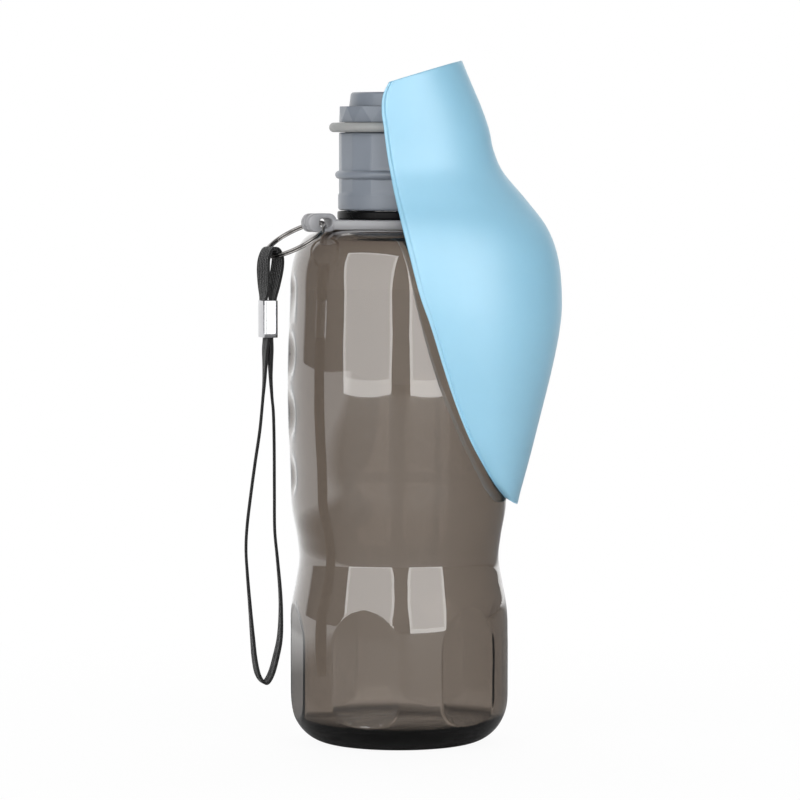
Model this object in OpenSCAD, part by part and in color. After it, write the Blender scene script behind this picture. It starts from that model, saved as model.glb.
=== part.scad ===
/* [Bottle] */
// Outer radius of the upper barrel at its widest
barrel_r = 41; // [38:0.5:44]
// Outer radius of the lower bulge
bulge_r = 40.5; // [38.5:0.5:41.5]
// Outer radius of the waist between them
waist_r = 36.9; // [34:0.2:38]
// Height of the waist
waist_z = 68.5; // [64:0.5:72]
// Height of the flat top of the shoulder
shoulder_z = 189.8; // [184:0.2:196]
// Wall thickness of the body
bottle_wall = 1.6; // [1.2:0.1:2.2]
// Thickness of the floor of the body at its middle
floor_t = 2.9; // [2.2:0.1:4]
// Radius of the standing ring under the body
foot_r = 24; // [20:0.5:27]
// Number of flat arched panels round the bulge
panel_count = 6; // [4:1:8]
// Depth of each arched panel at its middle
panel_depth = 2; // [1:0.1:2.4]
// Height of the top of the panel arches
panel_top = 60; // [56:0.5:62]
// Number of finger dimples down the back
grip_count = 4; // [2:1:5]
// Distance between finger dimples
grip_pitch = 22.6; // [20:0.2:24]
// Depth of each finger dimple
grip_depth = 2.4; // [1:0.1:3]
// Turn of the body's panels and dimples from the leaf's plane
body_turn = -168.5; // [-180:0.5:-150]

/* [Neck] */
// Outer radius of the neck
neck_r = 17.8; // [16.5:0.1:18.5]
// Radius of the hole through the neck
neck_bore_r = 15.4; // [13:0.1:16]
// Height of the neck above the shoulder
neck_h = 22.7; // [21:0.1:26]
// Rise of the thread in one turn
pitch = 4.5; // [4:0.1:5]
// Turns that take the cap off
thread_turns = 2.5; // [1:0.5:2.5]
// Radial play between the two threads
thread_gap = 0.5; // [0.25:0.05:0.5]

/* [Collar] */
// Outer radius of the strap collar
collar_r = 23.4; // [22.5:0.1:25]
// Thickness of the strap collar
collar_t = 3.6; // [3:0.1:4.2]
// Thickness of the rubber gasket on the collar
gasket_t = 3; // [2:0.1:3.4]
// Outer radius of the rubber gasket
gasket_r = 22.7; // [21.5:0.1:23.5]
// Direction of the strap lug round the neck
lug_turn = 212; // [200:1:220]
// Distance of the lug's middle from the axis
lug_r = 34.3; // [32:0.5:36]
// Height of the lug
lug_h = 6.8; // [6:0.2:8]
// Thickness of the lug
lug_t = 6; // [4:0.2:7]

/* [Cap] */
// Radius of the cap's round skirt
skirt_r = 22.4; // [21.8:0.1:23.4]
// Number of facets round the cap
facets = 16; // [14:1:20]
// Radius of the cap over the facet corners
facet_r = 22.2; // [21.8:0.1:23]
// Height of the cap from its skirt to the leaf ring's seat
cap_h = 28.5; // [28.5:0.1:32]
// Height of the round skirt below the facets
skirt_h = 7.1; // [5:0.1:9]
// Height of the rib above the skirt's lower edge
rib_h = 13; // [11:0.1:16]
// Section radius of the rib
rib_r = 1.5; // [1:0.1:1.8]
// Thickness of the deck across the cap
deck_t = 2.45; // [2:0.05:3]
// Thickness of the liner under the deck
liner_t = 1.45; // [1:0.05:2]
// Height of the collar that locks the leaf ring
lock_h = 5.8; // [5:0.1:7]

/* [Valve] */
// Radius of the knob at the foot of its head
knob_r = 18.3; // [17.8:0.1:19]
// Radius of the knob at its top
knob_top_r = 17.8; // [16.5:0.1:18]
// Height of the knob's head
knob_h = 5.1; // [4.5:0.1:7]
// Radius of the outlet in the knob
outlet_r = 4.6; // [4.2:0.1:5.2]
// Rise of the plunger's thread in one turn
valve_pitch = 12; // [10:0.5:14]

/* [Leaf ring] */
// Outer radius of the ring that carries the leaf
ring_r = 25.7; // [25:0.1:26]
// Height of that ring
ring_h = 3.5; // [3.4:0.1:4.2]
// Radius of its two pivot pins
pin_r = 1.6; // [1.4:0.1:1.7]
// Reach of the pivot pins from the axis
pin_reach = 29; // [28.4:0.1:29.2]

/* [Leaf] */
// Wall thickness of the leaf
leaf_wall = 2; // [1.6:0.1:2.4]
// Roundness of the leaf's sections, where 2 is an ellipse
leaf_round = 2.3; // [2:0.1:3]

/* [Strap] */
// Outer diameter of the split ring
split_d = 25; // [24:0.5:28]
// Thickness of one coil of the split ring
coil_t = 0.85; // [0.6:0.1:1]
// Radial width of the split ring's wire
coil_w = 1.5; // [1.2:0.1:1.6]
// Fall of the split ring below the horizontal
split_fall = 30; // [15:1:35]
// Width of the webbing
web_w = 8; // [6:0.5:8.5]
// Thickness of the webbing
web_t = 1.1; // [0.9:0.1:1.3]
// Height of the crimped clasp
clasp_h = 13.4; // [12:0.1:15]
// Wall of the clasp
clasp_wall = 0.5; // [0.4:0.05:0.7]

/* [Hidden] */
$fn = 96;
eps = 0.01;       // overlap that joins shapes of one piece
slip = 0.05;      // air between pieces that stay together
run = 0.07;       // radial air in a bearing
play = 0.3;       // air between other moving pieces

// Colours
smoke = [0.36, 0.32, 0.28, 0.6];
cap_grey = [0.55, 0.58, 0.63];
ring_grey = [0.58, 0.58, 0.57];
collar_grey = [0.64, 0.64, 0.64];
leaf_blue = [0.6, 0.83, 0.95];
black = [0.08, 0.08, 0.08];

// Heights, from the floor up
neck_top = shoulder_z + neck_h;
collar_z = shoulder_z + slip;
gasket_z = collar_z + collar_t + slip;
skirt_z = gasket_z + gasket_t + play;
liner_z = neck_top + slip;
deck_z = liner_z + liner_t + slip;
guide_z = deck_z + deck_t;
seat_z = skirt_z + cap_h;
ring_z = seat_z + 0.15;
lock_z = ring_z + ring_h + 0.15;
lock_top = lock_z + lock_h;
head_z = lock_top + 0.1;
knob_top = head_z + knob_h;
pivot_z = ring_z + ring_h / 2;

// ---------------------------------------------------------------- shared shapes

// A point on the smooth curve that runs through all the points of a list
function curve_at(p, i, t) =
  let (a = p[max(i - 1, 0)], b = p[i], c = p[min(i + 1, len(p) - 1)], d = p[min(i + 2, len(p) - 1)])
  0.5 * (2 * b + (c - a) * t + (2 * a - 5 * b + 4 * c - d) * t * t + (3 * b - a - 3 * c + d) * t * t * t);

// The whole curve, with n steps between two points of the list
function curve(p, n) =
  [for (i = [0:len(p) - 2], k = [0:n - 1]) curve_at(p, i, k / n), p[len(p) - 1]];

// A quarter of a rounded corner, from its foot at [rx, 0] to its top at [0, ry]
function corner(x, y, rx, ry, power, n) =
  [for (k = [0:n]) let (a = 90 * k / n)
    [x + rx * pow(cos(a), 2 / power), y + ry * pow(sin(a), 2 / power)]];

// A single screw thread as a round bar that winds off its centre
module thread(r, off, h, rise, start) {
  translate([0, 0, start])
    linear_extrude(height = h, twist = -360 * h / rise, slices = ceil(h / rise * 14))
      rotate(360 * start / rise) translate([off, 0]) circle(r = r, $fn = 20);
}

// A ring of square section
module tube(r_out, r_in, h, z) {
  translate([0, 0, z]) difference() {
    cylinder(r = r_out, h = h);
    translate([0, 0, -1]) cylinder(r = r_in, h = h + 2);
  }
}

// ---------------------------------------------------------------- bottle

thread_r = 18.1 - 17.8 + neck_r;
thread_off = 0.8;
thread_z = skirt_z + 1.5;
thread_h = 10;
shoulder_in = 24;        // radius where the shoulder is flat
shoulder_drop = 24.8;    // height of the rounded shoulder
shoulder_power = 2.8;
foot_h = 19;             // height of the rounded lower corner
bulge_top = 50.5;        // height where the bulge narrows towards the waist
arch_h = 18.5;           // height over which a panel's arch runs out
grip_z = shoulder_z - 22.8;   // height of the top dimple
grip_ball = 16;          // radius of the dimples
punt_h = 4.8;            // height of the hollow under the floor
punt_foot = foot_r - 4.5;     // radius of the hollow where it starts
punt_r = (punt_foot * punt_foot + punt_h * punt_h) / (2 * punt_h);
floor_z = punt_h + floor_t;   // height of the floor inside
foot_in_r = foot_r + 7;       // radius of the flat floor inside
mark_depth = 0.4;        // depth of the two rings marked under the floor

// Height a share of the way from the waist to the shoulder
function above(share) = waist_z + (shoulder_z - waist_z) * share;

// Radius of the side of the body against height, w inside its outer face
function side(w) = curve([
  [bulge_r - w, foot_h + 6], [bulge_r - w, foot_h + 19], [bulge_r - 0.6 - w, bulge_top - 0.5],
  [waist_r + 1.2 - w, waist_z - 8.5], [waist_r - w, waist_z], [waist_r + 0.9 - w, above(0.07)],
  [waist_r + 2.8 - w, above(0.161)], [barrel_r - 0.9 - w, above(0.268)], [barrel_r - w, above(0.441)],
  [barrel_r - w, above(0.606)], [barrel_r - 0.6 - w, above(0.721)]], 4);

// The half outline of the body, w inside its outer face, over a floor at height f that is flat out to edge
function body_outline(w, f, edge, power, neck, top) = concat(
  [[0, f]],
  [for (q = corner(0, 0, foot_h - f, bulge_r - w - edge, power, 10)) [edge + q[1], foot_h - q[0]]],
  side(w),
  corner(shoulder_in, shoulder_z - shoulder_drop, barrel_r - 0.9 - w - shoulder_in,
    shoulder_drop - w, shoulder_power, 12),
  [[neck, shoulder_z - w], [neck, top], [0, top]]);

// Cutters for the flat arched panels, w inside the outer face
module panels(w) {
  flat_r = bulge_r - panel_depth - w;
  for (i = [0:panel_count - 1]) rotate(body_turn + 360 / panel_count * i) rotate([90, 0, 0])
    linear_extrude(height = 60, center = true)
      polygon([[flat_r, -1], [60, -1], [60, panel_top + 30], [bulge_r - w + 4, panel_top + 20],
        [bulge_r - w, panel_top], [flat_r, panel_top - arch_h]]);
}

// Balls that press the finger dimples in, w inside the outer face
module grips(w) {
  for (i = [0:grip_count - 1]) rotate(body_turn)
    translate([barrel_r - grip_depth + grip_ball, 0, grip_z - grip_pitch * i]) sphere(r = grip_ball + w);
}

module bottle_body() color(smoke) difference() {
  union() {
    difference() {
      rotate_extrude() polygon(body_outline(0, 0, foot_r, 2.2, neck_r, neck_top));
      panels(0);
      grips(0);
    }
    thread(thread_r, thread_off, thread_h, pitch, thread_z);
  }
  difference() {
    rotate_extrude() polygon(body_outline(bottle_wall, floor_z, foot_in_r, 3.2, neck_bore_r, neck_top + 1));
    panels(bottle_wall);
    grips(bottle_wall);
  }
  translate([0, 0, punt_h - punt_r]) sphere(r = punt_r, $fn = 128);
  for (r = [8, 12])
    tube(r + 0.4, r - 0.4, punt_h - punt_r + sqrt(punt_r * punt_r - r * r) + mark_depth, 0);
}

// ---------------------------------------------------------------- strap collar

lug_half = 6.1;          // half the length of the lug along the radius
lug_z = collar_z + collar_t / 2 + 0.85;
eye_r = lug_r - 1.2;     // distance of the eye from the axis
eye_w = 5.4;             // length of the eye in the lug
eye_h = 3.2;             // height of the eye in the lug
bead_t = 1;              // width of the groove round the lug's rim

// A bar with round ends across the radius, for the lug and its eye
module lug_bar(middle, half, h, t) {
  translate([middle, 0, lug_z]) rotate([90, 0, 0]) {
    for (s = [-1, 1]) translate([s * (half - h / 2), 0, 0]) cylinder(r = h / 2, h = t, center = true);
    cube([2 * half - h, h, t], center = true);
  }
}

module strap_collar() color(collar_grey) rotate(lug_turn) difference() {
  union() {
    translate([0, 0, collar_z]) cylinder(r = collar_r, h = collar_t);
    translate([0, 0, collar_z]) linear_extrude(height = collar_t)
      polygon([[12, -19], [lug_r - lug_half + 2, -lug_t / 2], [lug_r - lug_half + 2, lug_t / 2], [12, 19]]);
    difference() {
      lug_bar(lug_r, lug_half, lug_h, lug_t);
      difference() {
        lug_bar(lug_r, lug_half + 1, lug_h + 2, bead_t);
        lug_bar(lug_r, lug_half - 0.5, lug_h - 1, bead_t + 1);
      }
    }
  }
  translate([0, 0, collar_z - 1]) cylinder(r = neck_r + play, h = collar_t + 2);
  lug_bar(eye_r, eye_w / 2, eye_h, lug_t + 2);
}

// ---------------------------------------------------------------- cap

spigot_r = 19.7;         // radius of the spigot inside the leaf ring
spigot_h = 8.6;          // its height above the ring's seat
chamber_r = 19;          // radius of the valve chamber
chamber_h = 4.7;         // its height above the deck
throat_r = 17.55;        // radius of the bore that the knob turns in
deck_hole_r = 9;
facet_phase = -4.4;      // turn of the facets
cap_thread_r = thread_r + thread_gap;

module prism(r, h, z, turn) {
  translate([0, 0, z]) linear_extrude(height = h)
    polygon([for (i = [0:facets - 1]) r * [cos(turn + 360 / facets * i), sin(turn + 360 / facets * i)]]);
}

module neck_gasket() color(black)
  rotate_extrude() polygon([
    [neck_r + play, gasket_z], [gasket_r - 0.6, gasket_z], [gasket_r, gasket_z + 0.7],
    [gasket_r, gasket_z + gasket_t - 0.7], [gasket_r - 0.6, gasket_z + gasket_t],
    [neck_r + play, gasket_z + gasket_t]]);

module cap_liner() color("white") tube(neck_r - 0.1, neck_bore_r - 1, liner_t, liner_z);

module cap_body() color(cap_grey) difference() {
  union() {
    rotate_extrude() polygon([
      [0, skirt_z], [skirt_r - 1, skirt_z], [skirt_r - 0.3, skirt_z + 0.3], [skirt_r, skirt_z + 1],
      [skirt_r, skirt_z + skirt_h - 1.6], [facet_r - 0.5, skirt_z + skirt_h], [0, skirt_z + skirt_h]]);
    prism(facet_r, cap_h - 5, skirt_z + 5, facet_phase);
    rotate_extrude() translate([facet_r - 0.2, skirt_z + rib_h]) circle(r = rib_r, $fn = 32);
    translate([0, 0, seat_z - eps]) cylinder(r = spigot_r, h = spigot_h + eps);
  }
  translate([0, 0, skirt_z - 1]) cylinder(r = thread_r + thread_off * 0.1, h = deck_z - skirt_z + 1);
  thread(cap_thread_r, thread_off, thread_z + thread_h + 1.6 - skirt_z + 2, pitch, skirt_z - 2);
  translate([0, 0, deck_z - 1]) cylinder(r = deck_hole_r, h = deck_t + 2);
  translate([0, 0, guide_z]) cylinder(r = chamber_r, h = chamber_h);
  translate([0, 0, guide_z]) cylinder(r = throat_r, h = 40);
}

module cap_collar() color(cap_grey) difference() {
  hull() {
    prism(facet_r - 0.15, eps, lock_z, facet_phase);
    prism(facet_r - 0.3, eps, lock_top - eps, facet_phase + 180 / facets);
  }
  translate([0, 0, lock_z - 1]) cylinder(r = spigot_r + slip, h = lock_h + 2);
}

// ---------------------------------------------------------------- valve

key_w = 8;               // side of the plunger's square stem
guide_t = 2.4;
vent_place = 7.6;        // distance of the guide's drain holes from the axis
vent_r = 1.6;
skirt_bore_r = 14;       // radius inside the knob's skirt
clip_t = 1.4;
knob_skirt_z = guide_z + guide_t + 0.1;
clip_z = knob_skirt_z + 0.7;
seal_r = 1;              // section radius of the knob's O-ring
seal_z = seat_z + 0.9;
plate_z = head_z + 1.1;  // underside of the knob's top plate
boss_r = 8.6;
screw_r = 6;             // the plunger's thread
screw_off = 0.6;
screw_z = seat_z + 0.9;
screw_h = 7;
plug_z = plate_z + 1;
plug_t = 2;
stem_r = 3.6;
bore_r = 2.4;

module valve_guide() color(cap_grey) difference() {
  translate([0, 0, guide_z]) cylinder(r = chamber_r - slip, h = guide_t);
  translate([0, 0, guide_z]) cube([key_w + 2 * run, key_w + 2 * run, 3 * guide_t], center = true);
  for (i = [0:3]) rotate(45 + 90 * i) translate([vent_place, 0, guide_z - 1])
    cylinder(r = vent_r, h = guide_t + 2);
}

module valve_plunger() color("white") difference() {
  union() {
    translate([-key_w / 2, -key_w / 2, deck_z]) cube([key_w, key_w, screw_z - deck_z - 1]);
    translate([0, 0, screw_z - 1 - eps]) cylinder(r = screw_r - screw_off - 0.1, h = 2);
    thread(screw_r, screw_off, screw_h, valve_pitch, screw_z);
    translate([0, 0, screw_z + 1]) cylinder(r = stem_r, h = plug_z - screw_z - 1);
    translate([0, 0, screw_z + 1]) cylinder(r = stem_r - 1, h = plug_z + plug_t - screw_z);
    translate([0, 0, plug_z + plug_t + slip]) cylinder(r = stem_r - 0.2, h = 0.9);
  }
  translate([0, 0, deck_z - 1]) cylinder(r = bore_r, h = plug_z - 1 - deck_z);
  for (a = [0, 90]) rotate(a) translate([0, 0, plug_z - 2.4]) rotate([90, 0, 0])
    cylinder(r = 1.2, h = 20, center = true);
}

module outlet_plug() color([0.75, 0.75, 0.75])
  tube(outlet_r - 0.1, stem_r - 1 + slip, plug_t, plug_z);

module valve_knob() color(cap_grey) difference() {
  union() {
    translate([0, 0, knob_skirt_z]) cylinder(r = throat_r - 0.08, h = head_z - knob_skirt_z + eps);
    rotate_extrude() polygon(concat(
      [[0, head_z], [knob_r, head_z]],
      [for (k = [0:6]) let (a = 15 * k)
        [knob_top_r - 1.2 + 1.2 * cos(a), knob_top - 1.2 + 1.2 * sin(a)]],
      [[12.4, knob_top], [11.6, knob_top - 0.8], [0, knob_top - 0.8]]));
  }
  difference() {
    translate([0, 0, knob_skirt_z - 1]) cylinder(r = skirt_bore_r, h = plate_z - knob_skirt_z + 1);
    translate([0, 0, screw_z - 1.5]) cylinder(r = boss_r, h = 40);
  }
  thread(screw_r + 0.2, screw_off, plate_z - screw_z + 3, valve_pitch, screw_z - 3);
  translate([0, 0, plate_z - 1]) cylinder(r = outlet_r, h = 10);
  tube(throat_r + 1, skirt_bore_r + 1.9, clip_t + 0.2, clip_z - 0.1);
  tube(throat_r + 1, throat_r - 2.1, 2 * seal_r + 0.3, seal_z - seal_r - 0.15);
  for (s = [-1, 1]) translate([s * 8.6, 0, knob_top - 0.8]) rotate([90, 0, 0])
    cylinder(r = 1.1, h = 9, center = true);
}

module knob_clip() color("silver") difference() {
  tube(throat_r + 0.9, skirt_bore_r + 1.95, clip_t, clip_z);
  translate([12, -2, clip_z - 1]) cube([10, 4, clip_t + 2]);
}

module knob_seal() color(black)
  rotate_extrude() translate([throat_r - 1.05, seal_z]) circle(r = seal_r, $fn = 32);

// ---------------------------------------------------------------- leaf ring

ring_edge = 1.75;        // rounding of the ring's rim

module leaf_ring() color(ring_grey) {
  difference() {
    rotate_extrude() {
      translate([spigot_r - 1, ring_z]) square([ring_r - ring_edge - spigot_r + 1, ring_h]);
      translate([ring_r - ring_edge, pivot_z]) circle(r = ring_h / 2, $fn = 32);
    }
    translate([0, 0, ring_z - 1]) cylinder(r = spigot_r + run, h = ring_h + 2);
  }
  for (s = [-1, 1]) translate([0, s * (ring_r - 2), pivot_z]) rotate([-90 * s, 0, 0])
    cylinder(r = pin_r, h = pin_reach - ring_r + 2, $fn = 48);
}

// ---------------------------------------------------------------- leaf

// Stations down the leaf: rim x, rim height, spine x, spine height, half width, how far it follows
// the barrel's radius. The heights are from the pivot.
leaf_form = [
  [-3.6, 16.3, 23.2, 24.5, 28.8, 0], [-5.8, 11.4, 26.6, 16.3, 29.8, 0],
  [-6.2, 5.7, 30.4, 7.4, 30.3, 0], [-5.4, -0.5, 33.3, -1.1, 30.5, 0],
  [-4.5, -7.8, 34.8, -8.2, 30.8, 0], [-3.2, -15.8, 38.4, -16.4, 32.2, 0],
  [-1.2, -25.8, 46.9, -26.6, 37, 0.4], [1.2, -35.8, 54.7, -37, 42.6, 0.8],
  [4, -46.8, 58.8, -48.6, 46, 1], [7.6, -60.5, 60.1, -63.3, 47.4, 1],
  [11.5, -71.6, 59.2, -75, 46.8, 1], [15.8, -85.7, 56.2, -90, 44.6, 1],
  [20.5, -99.9, 52.5, -105, 40.6, 1], [25.7, -112.9, 49.2, -118.2, 35.8, 1],
  [30.7, -122.6, 46.7, -127.6, 30.4, 1], [35, -130, 44.9, -134.2, 24.8, 1],
  [38.6, -135, 43.9, -138.6, 17.8, 1]];
leaf_barrel = 41;        // barrel radius that those stations fit
leaf = [for (s = leaf_form) let (k = 1 + s[5] * (barrel_r / leaf_barrel - 1))
  [s[0] * k, pivot_z + s[1], s[2] * k, pivot_z + s[3], s[4] * k]];
leaf_rings = curve(leaf, 2);
leaf_across = 20;        // steps round one section
boss_in = ring_r + 0.4;  // inner face of the pivot bosses
socket_end = pin_reach + 0.15;

// A point of a section, a running from -90 at one rim to 90 at the other, w inside the outer face
function leaf_point(s, a, w) =
  let (depth = max(s[2] - s[0] - w, 0.3), c = pow(abs(cos(a)), 2 / leaf_round),
    y = sign(a) * pow(abs(sin(a)), 2 / leaf_round))
  [s[0] + depth * c, (s[4] - w) * y, s[1] + (s[3] - s[1]) * c * depth / (s[2] - s[0])];

function leaf_skin(w) =
  [for (s = leaf_rings, k = [0:leaf_across]) leaf_point(s, -90 + 180 * k / leaf_across, w)];

module leaf_shell() {
  rows = len(leaf_rings);
  n = leaf_across + 1;
  inner = rows * n;
  quads = concat(
    [for (i = [0:rows - 2], k = [0:n - 2]) let (a = i * n + k) [a, a + 1, a + n + 1, a + n]],
    [for (i = [0:rows - 2], k = [0:n - 2]) let (a = inner + i * n + k) [a, a + n, a + n + 1, a + 1]],
    [for (i = [0:rows - 2], k = [0, n - 1]) let (a = i * n + k, b = inner + a)
      k == 0 ? [a, a + n, b + n, b] : [a, b, b + n, a + n]],
    [for (k = [0:n - 2]) [k, inner + k, inner + k + 1, k + 1]],
    [for (k = [0:n - 2]) let (a = (rows - 1) * n + k) [a, a + 1, inner + a + 1, inner + a]]);
  faces = [for (q = quads) each [[q[0], q[1], q[2]], [q[0], q[2], q[3]]]];
  polyhedron(points = concat(leaf_skin(0), leaf_skin(leaf_wall)), faces = faces, convexity = 6);
}

module leaf_trough() color(leaf_blue) difference() {
  union() {
    leaf_shell();
    for (s = [-1, 1]) translate([0, s * boss_in, pivot_z]) rotate([-90 * s, 0, 0])
      cylinder(r = pin_r + 2.2, h = 3.4, $fn = 48);
  }
  for (s = [-1, 1]) translate([0, s * (boss_in - 1), pivot_z]) rotate([-90 * s, 0, 0])
    cylinder(r = pin_r + run, h = socket_end - boss_in + 1, $fn = 48);
}

// ---------------------------------------------------------------- split ring and strap

split_mid = split_d / 2 - coil_w / 2;
hook_r = eye_r + eye_w / 2 - coil_w / 2 - 0.9;  // where the ring passes through the eye
hook_z = lug_z - 0.1;
strap_r = hook_r + 2 * split_mid * cos(split_fall);
strap_z = hook_z - 2 * split_mid * sin(split_fall);

module split_ring() color("silver")
  rotate(lug_turn) translate([hook_r, 0, hook_z]) rotate([0, split_fall, 0])
    translate([split_mid, 0, 0]) difference() {
      tube(split_d / 2, split_d / 2 - coil_w, 2 * coil_t, -coil_t);
      tube(split_d, split_d / 2 - 0.25, 0.16, -0.08);
      tube(split_d / 2 - coil_w + 0.25, 1, 0.16, -0.08);
    }

web_x = strap_r * cos(lug_turn);
web_y = strap_r * sin(lug_turn);
loop_turn = lug_turn - 180;       // direction across the upper loop, at the ring
clasp_turn = 17;                  // direction across the loops, at the clasp
hang_turn = 3;                    // direction across the lower loop, where it hangs free
clasp_z = strap_z - 29.45;        // lower end of the clasp
clasp_x = web_x - 1.2;
clasp_y = web_y - 0.3;
clasp_top = clasp_z + clasp_h;
layer_gap = 0.08;                 // air between two layers in the clasp
pair = (web_t + layer_gap) / 2;   // place of the inner layers in the clasp
outer_pair = 3 * pair;            // place of the outer layers

// Stations along the loops: distance across the loop, height, turn of the loop's plane
upper_half = [
  [outer_pair, clasp_z + 0.3, clasp_turn], [outer_pair, clasp_top - 3, clasp_turn],
  [outer_pair, clasp_top + 0.3, 19], [2, strap_z - 12.3, 30], [2.6, strap_z - 8.2, 36],
  [3.1, strap_z - 4.2, 37], [2.9, strap_z - 0.6, 34], [1.6, strap_z + 2.2, loop_turn]];
upper_route = concat(
  [for (s = upper_half) [-s[0], s[1], s[2]]],
  [[0, strap_z + 2.9, loop_turn]],
  [for (i = [len(upper_half) - 1:-1:0]) upper_half[i]]);

// The lower loop: distance across, depth below the clasp, turn
lower_form = [
  [-pair, 0.3 - clasp_h, clasp_turn], [-pair, -3, clasp_turn], [-pair, 0.3, clasp_turn],
  [-1, 4.5, 15], [-1.15, 10, 10], [-1.4, 16, 6], [-1.9, 22, hang_turn], [-3, 33.5, hang_turn],
  [-4.7, 45, hang_turn], [-6.3, 56.7, hang_turn], [-7.7, 68.3, hang_turn], [-8.15, 77, hang_turn],
  [-7.7, 85.7, 4], [-6.8, 97.3, 6], [-5.9, 109, 10], [-5.2, 117, 13], [-3.9, 123, 15],
  [-1.4, 125.8, 15], [1, 122.5, 15], [3, 115.5, 14], [4.2, 109, 12], [4.5, 100, 8],
  [4.2, 91.5, 6], [3.2, 80, 4], [2.3, 70, hang_turn], [2.2, 56.7, hang_turn],
  [2.15, 39.3, hang_turn], [1.9, 27.7, hang_turn], [1.4, 21.8, hang_turn], [0.95, 15, 6],
  [0.85, 10, 10], [0.8, 4.5, 15], [pair, 0.3, clasp_turn], [pair, -3, clasp_turn],
  [pair, 0.3 - clasp_h, clasp_turn]];
lower_route = [for (s = lower_form) [s[0], clasp_z - s[1], s[2]]];

// The middle of the strap at height z, between the clasp and the split ring
function strap_middle(z) =
  let (t = min(max((z - clasp_top) / (strap_z - clasp_top), 0), 1))
  [clasp_x + (web_x - clasp_x) * t, clasp_y + (web_y - clasp_y) * t];

function station(s) =
  let (m = strap_middle(s[1])) [m[0] + s[0] * cos(s[2]), m[1] + s[0] * sin(s[2]), s[1], s[2]];

// A flat band swept along a route of stations
module band(route, steps) {
  line = [for (s = curve(route, steps)) station(s)];
  last = len(line) - 1;
  outline = [[0.5, 0.3], [0.47, 0.5], [-0.47, 0.5], [-0.5, 0.3], [-0.5, -0.3], [-0.47, -0.5], [0.47, -0.5],
    [0.5, -0.3]];
  n = len(outline);
  points = [for (i = [0:last])
    let (p = line[i], q = line[min(i + 1, last)] - line[max(i - 1, 0)],
      along = [q[0], q[1], q[2]] / norm([q[0], q[1], q[2]]),
      across = [-sin(p[3]), cos(p[3]), 0],
      flat = across - (across * along) * along,
      wide = flat / norm(flat),
      thick = cross(wide, along))
    for (o = outline) [p[0], p[1], p[2]] + o[0] * web_w * wide + o[1] * web_t * thick];
  quads = [for (i = [0:last - 1], k = [0:n - 1]) let (a = i * n + k, b = i * n + (k + 1) % n)
    [a, b, b + n, a + n]];
  faces = concat(
    [for (q = quads) each [[q[0], q[1], q[2]], [q[0], q[2], q[3]]]],
    [[for (k = [n - 1:-1:0]) k]],
    [[for (k = [0:n - 1]) last * n + k]]);
  polyhedron(points = points, faces = faces, convexity = 6);
}

module strap_upper_loop() color(black) band(upper_route, 2);
module strap_lower_loop() color(black) band(lower_route, 2);

clasp_t = 4 * web_t + 5 * layer_gap;

module strap_clasp() color("silver")
  translate([clasp_x, clasp_y, clasp_z]) rotate(clasp_turn) linear_extrude(height = clasp_h)
    difference() {
      square([clasp_t + 2 * clasp_wall, web_w + 2 * clasp_wall + 2 * layer_gap], center = true);
      square([clasp_t, web_w + 2 * layer_gap], center = true);
    }

bottle_body();
strap_collar();
neck_gasket();
cap_body();
cap_liner();
cap_collar();
leaf_ring();
leaf_trough();
valve_guide();
valve_plunger();
outlet_plug();
valve_knob();
knob_clip();
knob_seal();
split_ring();
strap_upper_loop();
strap_clasp();
strap_lower_loop();
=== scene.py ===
import math

import bmesh
import bpy
from mathutils import Matrix, Vector


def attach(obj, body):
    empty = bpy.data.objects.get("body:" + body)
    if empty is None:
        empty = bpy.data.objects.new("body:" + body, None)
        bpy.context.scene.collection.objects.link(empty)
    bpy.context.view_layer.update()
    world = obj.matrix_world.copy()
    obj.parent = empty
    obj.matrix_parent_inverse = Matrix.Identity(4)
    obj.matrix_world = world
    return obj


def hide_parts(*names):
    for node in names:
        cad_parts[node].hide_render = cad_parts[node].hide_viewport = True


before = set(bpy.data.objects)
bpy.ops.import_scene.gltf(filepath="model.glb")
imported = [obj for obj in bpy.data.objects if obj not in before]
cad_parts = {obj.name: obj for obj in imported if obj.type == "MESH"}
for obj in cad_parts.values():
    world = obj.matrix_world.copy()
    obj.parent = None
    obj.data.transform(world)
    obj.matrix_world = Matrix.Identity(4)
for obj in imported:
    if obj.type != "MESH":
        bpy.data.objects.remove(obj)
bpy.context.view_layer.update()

MM = 0.001
scene = bpy.context.scene

# ---------------------------------------------------------------- camera

SHOT = 1.6            # distance of the camera from the bottle's axis
EYE = 0.222           # height of the camera
AIM = Vector((0.0004, 0.0, 0.1267))
SPAN = 0.295          # width of the view at the axis

cam_data = bpy.data.cameras.new("camera")
cam_data.sensor_width = 36
cam_data.sensor_fit = "HORIZONTAL"
cam_data.lens = 36 * SHOT / SPAN
cam_data.clip_start = 0.05
cam_data.clip_end = 40
camera = bpy.data.objects.new("camera", cam_data)
camera.location = (AIM.x, -SHOT, EYE)
camera.rotation_euler = (AIM - camera.location).to_track_quat("-Z", "Y").to_euler()
scene.collection.objects.link(camera)
scene.camera = camera
scene.view_settings.view_transform = "Standard"
scene.view_settings.look = "None"


# ---------------------------------------------------------------- helpers

def catmull(points, steps):
    """A smooth curve through lists of numbers, as the CAD model draws it."""
    out = []
    last = len(points) - 1
    for i in range(last):
        a = points[max(i - 1, 0)]
        b = points[i]
        c = points[i + 1]
        d = points[min(i + 2, last)]
        for k in range(steps):
            t = k / steps
            out.append([
                0.5 * (2 * q + (r - p) * t + (2 * p - 5 * q + 4 * r - s) * t * t
                       + (3 * q - p - 3 * r + s) * t ** 3)
                for p, q, r, s in zip(a, b, c, d)])
    out.append(list(points[last]))
    return out


def band_faces(count, around, wrap=False):
    """The faces between closed rows of points, each row with the same number of points."""
    faces = []
    for i in range(count if wrap else count - 1):
        low, high = i * around, (i + 1) % count * around
        for k in range(around):
            faces.append((low + k, low + (k + 1) % around, high + (k + 1) % around, high + k))
    return faces


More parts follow.
